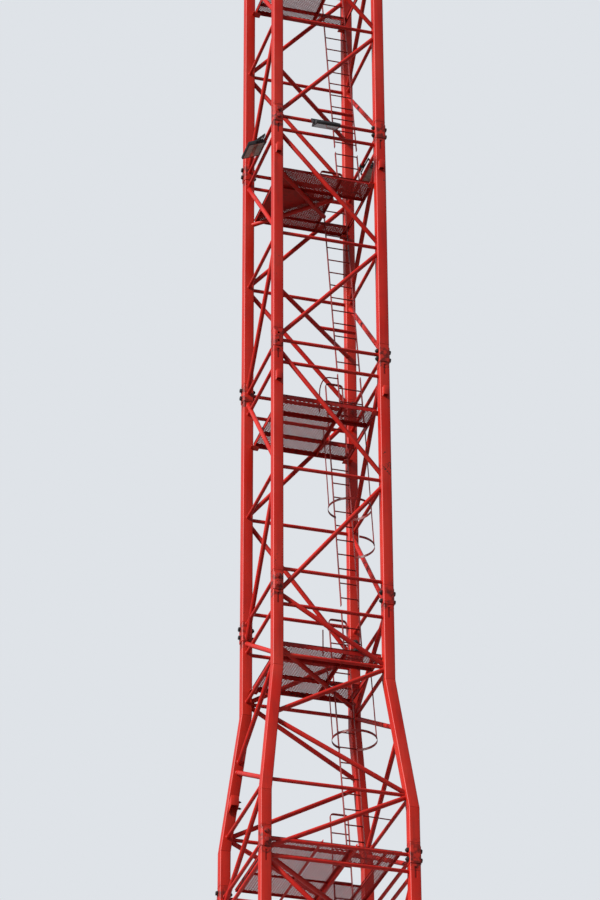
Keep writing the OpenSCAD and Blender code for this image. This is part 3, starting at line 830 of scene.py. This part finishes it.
def side_point(u, z):
    """A point on the front side: u is -1 on its left chord and 1 on its right one."""
    return Vector((u * half_spacing(z), -half_spacing(z), z))


def tube_foot(a, b, radius, side):
    """The seam round a tube's end where it meets the chord's inner face."""
    way = (b - a).normalized()
    across = way.cross(Vector((0, 1, 0))).normalized() * radius
    loop = []
    for point in circle(Vector(a), across, way.cross(across)):
        # The face leans in the tapered section, so the point closes in on it
        for _ in range(3):
            point = point + way * (side * half_clear(point.z) - point.x) / way.x
        loop.append(point)
    return loop


def side_lattice(name, rows):
    """The tubes of one side from rows of their heights on the left and the right chord and their radius."""
    tubes, seams = [], []
    for low, high, radius in rows:
        a, b = side_point(-1, low), side_point(1, high)
        tubes.append(tube(a, b, radius, sides=24))
        seams += [tube_foot(a, b, radius, -1), tube_foot(b, a, radius, 1)]
    return smooth(join(name, [*tubes, strands(seams, WELD)]))


def straight_rows(foot, head, low, high):
    """A straight side: three level ties and two diagonals that meet on the right chord."""
    return [(foot, foot, TIE_R), (RING, RING, TIE_R), (head, head, TIE_R),
            (low, RING - SPLIT, BRACE_R), (high, RING + SPLIT, BRACE_R)]


def taper_rows(z0):
    """The tapered side zigzags: its knees lie above the bends, and its apex above their middle."""
    lower, apex, upper = [z - z0 + rise for z, rise in zip((BENDS[0], sum(BENDS) / 2, BENDS[1]), TAPER_RISE)]
    ties = [(z, z, TIE_R) for z in (TAPER_TIE_HEAD, upper, lower, TIE_FOOT)]
    return ties + [(SECTION_H, upper, BRACE_R), (apex + SPLIT, upper, BRACE_R),
                   (apex - SPLIT, lower, BRACE_R), (0, lower, BRACE_R)]


def side_rows(section, side):
    """The rows of one side of a section, at their heights on the mast."""
    z0 = SECTIONS.index(section) * SECTION_H
    if section == "taper":
        rows = taper_rows(z0)
    elif section == "lower":
        rows = straight_rows(LOWER_TIE_FOOT[side], **LOWER)
    else:
        rows = straight_rows(TIE_FOOT, **STRAIGHT)
    return [(z0 + left, z0 + right, radius) for left, right, radius in rows]


def make_sides(section):
    """The four sides, each drawn as the front one and turned to its place."""
    for turn, side in enumerate(SIDES):
        piece = side_lattice(f"{section}_{side}_tubes", side_rows(section, side))
        piece.data.transform(Matrix.Rotation(turn * math.pi / 2, 4, "Z"))
        finish_piece(piece, ENAMEL_TUBE, nodes=[f"{section}_{side}_bracing"])


def make_plan_tubes():
    """Tubes that cross the mast, the stays behind two ladders, and the beams under the foot's deck."""
    pieces = []

    def diagonal(z, mirror=1, end=None):
        start = half_clear(z) + PLAN_BITE
        end = end or start
        pieces.append(tube((-start, -mirror * start, z), (end, mirror * end, z), BRACE_R, sides=24))

    diagonal(FOOT_PLAN_Z)
    diagonal(deck_top("taper") - RIM["taper"] - BRACE_R)
    for mirror in (1, -1):
        diagonal(deck_top("middle") - RIM["middle"] - BRACE_R, mirror, HATCH_X[0])
    for section in ("middle", "upper"):
        z = SECTIONS.index(section) * SECTION_H + PLAN_Z
        diagonal(z)
        # The stay runs behind the ladder, from the diagonal to the right stile
        y = ladder_y(section, z) + STILE[1] / 2 + TIE_R
        pieces.append(tube((y, y, z), (LADDER_X + LADDER_W[section], y, z), TIE_R, sides=24))
    beam_z = SECTION_H + TIE_FOOT + TIE_R
    reach = half_spacing(beam_z) + TIE_R
    for x in (-HATCH_X[0], HATCH_X[0] - RIM_T):
        pieces.append(block((x, -reach, beam_z), (x + RIM_T, reach, beam_z + RIM["foot"]), EASE_THIN))
        leaf = (x + RIM_T - BAR_STEP, x + LEAF) if x > 0 else (x - LEAF + RIM_T, x + BAR_STEP)
        pieces.append(block((leaf[0], -reach + BAR_STEP, beam_z + BAR_STEP),
                            (leaf[1], reach - BAR_STEP, beam_z + BEAM_LEAF_T), EASE_THIN))
    return finish_piece(smooth(join("plan_tubes", pieces)), ENAMEL_TUBE,
                        nodes=["plan_bracing"])


# Decks

def expanded_mesh(edge, z, hole, strand):
    """A sheet of expanded metal: diamonds with a border strand at its edges and round the hatch."""
    # The grid lies cornerwise, so this many cells take it past the sheet's corners
    count = 2 * math.ceil(edge * (1 / DIAMOND[0] + 1 / DIAMOND[1])) + 2
    bpy.ops.mesh.primitive_grid_add(x_subdivisions=count, y_subdivisions=count, size=count / math.sqrt(2))
    sheet = settle()
    sheet.data.transform(Matrix.Translation((0, 0, z)) @ Matrix.Diagonal((*DIAMOND, 1, 1))
                         @ Matrix.Rotation(math.pi / 4, 4, "Z"))
    for side in ((1, 0, 0), (-1, 0, 0), (0, 1, 0), (0, -1, 0)):
        bisect(sheet, Vector(side) * edge + lift(z), side)
    x0, x1, y0, y1 = hole
    for x in (x0, x1):
        bisect(sheet, (x, 0, z), (1, 0, 0), clear=False)
    for y in (y0, y1):
        bisect(sheet, (0, y, z), (0, 1, 0), clear=False)

    def in_hole(face):
        x, y, _ = face.calc_center_median()
        return x0 < x < x1 and y0 < y < y1

    pick(sheet, "FACE", in_hole)
    bpy.ops.mesh.delete(type="FACE")
    bpy.ops.object.mode_set(mode="OBJECT")
    apply(sheet, "WIREFRAME", thickness=strand, use_even_offset=False, use_boundary=True)
    # The strands are wider than the sheet is thick
    sheet.data.transform(Matrix.Translation((0, 0, z)) @ Matrix.Diagonal((1, 1, SHEET / strand, 1))
                         @ Matrix.Translation((0, 0, -z)))
    return sheet


def angle_bar(a, b, inwards, leaf, top, depth):
    """An edge angle from a to b: an upright leaf on the outside and a level leaf under the mesh."""
    low = Vector((min(a[0], b[0]), min(a[1], b[1]), 0))
    high = Vector((max(a[0], b[0]), max(a[1], b[1]), 0))
    parts = []
    for width, z0, z1 in ((RIM_T, top - depth, top), (leaf, top - RIM_T - LEAF_DROP, top - LEAF_DROP)):
        grow = Vector(inwards) * width
        corner0 = Vector((low.x + min(grow.x, 0), low.y + min(grow.y, 0), z0))
        corner1 = Vector((high.x + max(grow.x, 0), high.y + max(grow.y, 0), z1))
        parts.append(block(corner0, corner1, EASE_THIN))
    return parts


def make_deck(section):
    """A deck of expanded mesh on angles and joists, with its hatch."""
    top, depth = deck_top(section), RIM[section]
    # Half the deck's width, and where its hatch lies
    e = FOOT_DECK_EDGE if section == "foot" else half_clear(top) - DECK_GAP
    (x0, x1), (y0, y1) = HATCH_X, hatch(section)
    joist = min(RIM["taper"], depth)
    # Each row of bars lies a step inside the one before it, so that no two faces share a plane
    rows = [[((-e, -e), (e, -e), (0, 1, 0), depth), ((-e, e), (e, e), (0, -1, 0), depth)],
            [((-e, -e), (-e, e), (1, 0, 0), depth), ((e, -e), (e, e), (-1, 0, 0), depth)],
            [((x0, -e), (x0, e), (-1, 0, 0), joist), ((x1, -e), (x1, e), (1, 0, 0), joist)],
            [((-e, y0), (x1, y0), (0, -1, 0), joist), ((-e, y1), (x1, y1), (0, 1, 0), joist)]]
    bars = []
    for n, row in enumerate(rows):
        for start, end, inwards, height in row:
            step = BAR_STEP * n
            along = (Vector(end) - Vector(start)).normalized() * step
            leaf = min(LEAF, e - x1 - step) if inwards[0] and start[0] > x0 else LEAF
            bars += angle_bar(Vector(start) + along, Vector(end) - along, inwards, leaf,
                              top - step, height - 2 * step)
    if section == "middle":
        bars.append(plain_sheet(e - LEAF, top))
    sheet = expanded_mesh(e - SHEET_GAP, top - SHEET / 2 - SHEET_DROP, (x0, x1, y0, y1), STRAND[section])
    piece = join(f"{section}_mesh_deck", [*bars, sheet])
    return finish_piece(piece, ENAMEL_DECK, nodes=[f"{section}_deck"])


def plain_sheet(inner, top):
    """Plain sheet on the left of the middle deck, between its two diagonals."""
    sheet = block((-inner, -inner, top - PLAIN_SHEET[0]), (PLAIN_APEX, inner, top - PLAIN_SHEET[1]), edge=0)
    for side in (1, -1):
        bisect(sheet, (PLAIN_APEX, 0, top), (inner, side * (inner + PLAIN_APEX), 0), fill=True)
    return apply(sheet, "BEVEL", width=PLAIN_EASE, segments=1)


# Ladders

def loop_run(width, low, high):
    """A stile's middle line from low on the left side, round the loop at high, to low on the right."""
    r = LOOP_R - STILE[0] / 2
    w = width - STILE[0]
    arc = [math.pi - t * math.pi / 16 for t in range(9)]
    left = [(r + r * math.cos(t), high - r + r * math.sin(t)) for t in arc]
    return [(0, low), *left, *[(w - x, y) for x, y in reversed(left)], (w, low)]


def make_ladder(section):
    """A ladder in the lengths that the mast's sections come with, under a looped head."""
    k = SECTIONS.index(section)
    w, lean, z0 = LADDER_W[section], ladder_lean(section), ladder_foot_z(section)
    along = math.hypot(1, lean)
    high_z = 5 * SECTION_H if section == "upper" else deck_top(section) + LADDER_OVER
    high = (high_z - z0) * along
    part = [((k * SECTION_H + up) - z0) * along for up in LADDER_PART]
    parted = k > 0 and part[0] > 2 * STILE[1]
    # The stiles start under the deck that they stand on, and are trimmed level with it
    foot = -STILE[1]
    runs = [loop_run(w, part[1] if parted else foot, high)]
    if parted:
        runs += [[(x, foot), (x, part[0])] for x in (0, w - STILE[0])]
    stiles = flat_bar(runs, STILE[1], STILE[0])
    rungs, seams = [], []
    v = RUNG_PITCH / 2 - STILE[1]
    while v < high - RUNG_PITCH:
        if v > 0 and not (parted and part[0] - RUNG_R < v < part[1] + RUNG_R):
            rungs.append(tube((0, v, 0), (w - STILE[0], v, 0), RUNG_R, sides=14))
            # A bead lies on each stile's inner face
            for x in (STILE[0] / 2, w - 1.5 * STILE[0]):
                seams.append(circle(Vector((x, v, 0)), Vector((0, RUNG_R, 0)), lift(RUNG_R), 10))
        v += RUNG_PITCH
    ladder = smooth(join(f"{section}_section_ladder", [stiles, *rungs, strands(seams, WELD / 2)]))
    ladder.data.transform(Matrix.Translation((LADDER_X + STILE[0] / 2, LADDER_FOOT[section], z0))
                          @ Matrix.Rotation(math.pi / 2 - math.atan(lean), 4, "X"))
    bisect(ladder, (0, 0, z0 + LADDER_TRIM), (0, 0, -1))
    return finish_piece(ladder, LADDER_ENAMEL_WITH_PAINTED_SHADE, nodes=[f"{section}_ladder"])


# Small fittings

def make_guard_bars():
    """A stay from the taper's ladder to its right side, and guard posts on the taper's and the lower deck."""
    z = BENDS[0] + TAPER_RISE[0]
    y = ladder_y("taper", z)
    stay = tube((LADDER_X + LADDER_W["taper"] - STILE[0], y, z), (half_spacing(z), y + STAY_SKEW, z), GUARD_R)
    deck = deck_top("taper")
    post = tube((*POST_AT, deck - RIM_T), (*POST_AT, deck + POST_H), GUARD_R)
    foot = Vector((*BENT_POST_AT, deck_top("lower")))
    run = [foot + lift(-RIM_T), foot + Vector((BENT_POST_LEAN, 0, BENT_POST_H))]
    # The bent post bows over to the right in a quarter of an ellipse
    for t in range(1, 7):
        turn = t * math.pi / 12
        run.append(foot + Vector((BENT_POST_LEAN + BENT_POST_BOW[0] * (1 - math.cos(turn)), 0,
                                  BENT_POST_H + BENT_POST_BOW[1] * math.sin(turn))))
    bent = strands([[*run, foot + BENT_POST_END]], BENT_POST_R, closed=False)
    return finish_piece(smooth(join("guard_bars", [stay, post, bent])), LADDER_ENAMEL_WITH_PAINTED_SHADE)


def make_chord_hood():
    """A hood of folded plate on the taper's back left chord, open below and behind, and its two studs."""
    at = chord_at(CORNERS["back_left"], HOOD_Z) - Vector((0, (CHORD + HOOD.y) / 2, 0))
    hood = block(at - HOOD / 2, at + HOOD / 2, edge=0)
    pick(hood, "FACE", lambda face: face.normal.y < -0.5)
    bpy.ops.transform.translate(value=lift(HOOD.y * HOOD_SLOPE))
    bpy.ops.object.mode_set(mode="OBJECT")
    pick(hood, "FACE", lambda face: face.normal.z < -0.5 or face.normal.y > 0.5)
    bpy.ops.mesh.delete(type="ONLY_FACE")
    bpy.ops.object.mode_set(mode="OBJECT")
    apply(hood, "SOLIDIFY", thickness=LUG_WALL, offset=-1, use_even_offset=True)
    ease(hood, EASE_FOLD, 50)
    finish_piece(smooth(join("chord_hood", [hood])), ENAMEL_CHORD)
    studs = []
    for height in STUD_HEIGHTS:
        stud = [tube(lift(STUD_ENDS[0]), lift(STUD_ENDS[1]), STUD_R, sides=24),
                *[hexagon(*STUD_NUT, nut_at) for nut_at in STUD_NUTS_AT]]
        place = (Matrix.Translation(at + Vector((HOOD.x / 2, 0, height)))
                 @ Matrix.Rotation(math.pi / 2, 4, "Y"))
        for part in stud:
            part.data.transform(place)
        studs += stud
    finish_piece(smooth(join("hood_studs", studs), 30), BOLT_STEEL)


# Floodlights

def make_lamp_model():
    """A floodlight about its pivot, glass down: a chamfered housing with cooling fins, and its pane."""
    x, y, z = LAMP / 2
    body = block((-x, -y, -z), (x, y, z - FIN[1]), edge=0)

    def along_top(edge):
        """Whether an edge of the housing's top runs from side to side."""
        a, b = [vertex.co for vertex in edge.verts]
        return min(a.z, b.z) > 0 and abs(a.y - b.y) < 0.01

    pick(body, "EDGE", along_top)
    bpy.ops.mesh.bevel(offset=LAMP_CHAMFER, segments=1)
    pick(body, "FACE", lambda face: face.normal.z < -0.9)
    bpy.ops.mesh.inset(thickness=LAMP_RIM)
    bpy.ops.mesh.extrude_region_move(TRANSFORM_OT_translate={"value": (0, 0, LAMP_SINK)})
    bpy.ops.object.mode_set(mode="OBJECT")
    parts = [ease(body, EASE_FOLD, 35)]
    for n in range(FINS):
        at = (LAMP.x - 2 * FIN_SIDE) * (n / (FINS - 1) - 0.5)
        parts.append(block((at - FIN[0], -y + FIN_END, z - FIN[1] - LAMP_BITE),
                           (at + FIN[0], y - FIN_END, z), EASE_FINE))
    for m in (-1, 1):
        end = m * (x + YOKE_GAP + YOKE_T)
        parts.append(tube((m * (x - LAMP_BITE), 0, 0), (end, 0, 0), PIVOT_R, sides=24))
        knob = hexagon(*KNOB, 0)
        knob.data.transform(Matrix.Translation((end, 0, 0)) @ Matrix.Rotation(m * math.pi / 2, 4, "Y"))
        parts.append(knob)
    pane = block((-x + LAMP_RIM, -y + LAMP_RIM, -z + PANE_Z[0]),
                 (x - LAMP_RIM, y - LAMP_RIM, -z + PANE_Z[1]), EASE_FINE)
    return smooth(join("lamp", parts), 30), join("pane", [pane])


def lamp_place(turn):
    """Where a lamp's pivot stands on a side, under the upper section's foot tie, and its tilt."""
    shift = LAMP_SHIFT * (1 if turn % 2 else -1)
    z = 4 * SECTION_H + TIE_FOOT - LAMP_DROP
    return (Matrix.Rotation(turn * math.pi / 2, 4, "Z")
            @ Matrix.Translation((shift, -half_spacing(z) - LAMP_OUT, z))
            @ Matrix.Rotation(LAMP_TILT, 4, "X"))


def make_lamps():
    lamp, pane = make_lamp_model()
    for turn, side in enumerate(SIDES):
        finish_piece(copied(lamp, lamp_place(turn), f"{side}_lamp_housing"), BLACK_COAT,
                     f"{side}_lamp", nodes=[f"{side}_floodlight"])
        finish_piece(copied(pane, lamp_place(turn), f"{side}_lamp_glass"), GLASS,
                     f"{side}_lamp")
    bpy.data.objects.remove(lamp)
    bpy.data.objects.remove(pane)


# The studio

def make_studio():
    """A pale floor and backdrop, soft light from above and a broad key light from the left."""
    bpy.ops.mesh.primitive_cylinder_add(vertices=96, radius=FLOOR_R, depth=FLOOR_T,
                                        location=AXIS - lift(FLOOR_DROP + FLOOR_T / 2))
    floor = bpy.context.object
    floor.name = "floor"
    # Matt grey paint
    pale = bpy.data.materials.new("pale_floor")
    pale.use_nodes = True
    shader = pale.node_tree.nodes["Principled BSDF"]
    shader.inputs["Base Color"].default_value = linear("#aeb0b2")
    shader.inputs["Roughness"].default_value = 0.8
    floor.data.materials.append(pale)
    world = bpy.data.worlds.new("studio")
    bpy.context.scene.world = world
    world.use_nodes = True
    # The camera sees a plain pale sky, while the mast is lit from above more than from below
    way = add_node(world, "ShaderNodeTexCoord").outputs["Generated"]
    upwards = add_node(world, "ShaderNodeSeparateXYZ", {"Vector": way}).outputs["Z"]
    dome = ramp(world, mask(world, upwards, -1.0, 1.0),
                [(0.30, "#857a72"), (0.52, "#7b7d80"), (0.80, "#a9aeb6")])
    seen = add_node(world, "ShaderNodeLightPath").outputs["Is Camera Ray"]
    sky = mix(world, seen, dome, "#dfe3e8")
    background = world.node_tree.nodes["Background"]
    world.node_tree.links.new(sky, background.inputs["Color"])
    background.inputs["Strength"].default_value = 1.0
    sun_data = bpy.data.lights.new("key", "SUN")
    sun_data.energy = SUN_POWER
    sun_data.angle = SUN_SPREAD
    sun = bpy.data.objects.new("key", sun_data)
    sun.rotation_euler = SUN_FROM.to_track_quat("Z", "Y").to_euler()
    bpy.context.scene.collection.objects.link(sun)
    bpy.context.scene.view_settings.view_transform = "Standard"


make_camera()
select_only()

ENAMEL_CHORD = red_enamel("red_enamel_on_box_section", "#b51808", "#b92b1c", 0.25, 0.44, 0.8)
ENAMEL_TUBE = red_enamel("red_enamel_on_round_tube", "#b0140a", "#b62418", 0.30, 0.44)
ENAMEL_DECK = red_enamel("red_enamel_on_deck_steel", "#9c120c", "#a42018", 0.6, 0.40)
# The ladders, their cages and guard bars get a darker red than the rest of the mast: painted shade, so that
# thin rungs and hoops read as in shadow, over the same red enamel
LADDER_ENAMEL_WITH_PAINTED_SHADE = red_enamel("dark_red_enamel_with_painted_shade_on_ladder_bar", "#74110b", "#86201a", 0.5, 0.40)
BOLT_STEEL = bolt_finish()
BLACK_COAT = powder_coat()
GLASS = lamp_glass()

make_sockets()
for section in SECTIONS:
    make_chords(section)
    make_sides(section)
    make_deck(section)
    make_ladder(section)
make_plan_tubes()
make_bolts()
make_guard_bars()
make_chord_hood()
make_lamps()

# What stays as it was packed still gets its finish; the brackets and cages take the ladders' red, darkened
# with painted shade
CARRIED = {"ladder_brackets": LADDER_ENAMEL_WITH_PAINTED_SHADE, "safety_cages": LADDER_ENAMEL_WITH_PAINTED_SHADE, "floodlight_yokes": BLACK_COAT}
for node, finish in CARRIED.items():
    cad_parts[node].data.materials.clear()
    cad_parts[node].data.materials.append(finish)

make_studio()
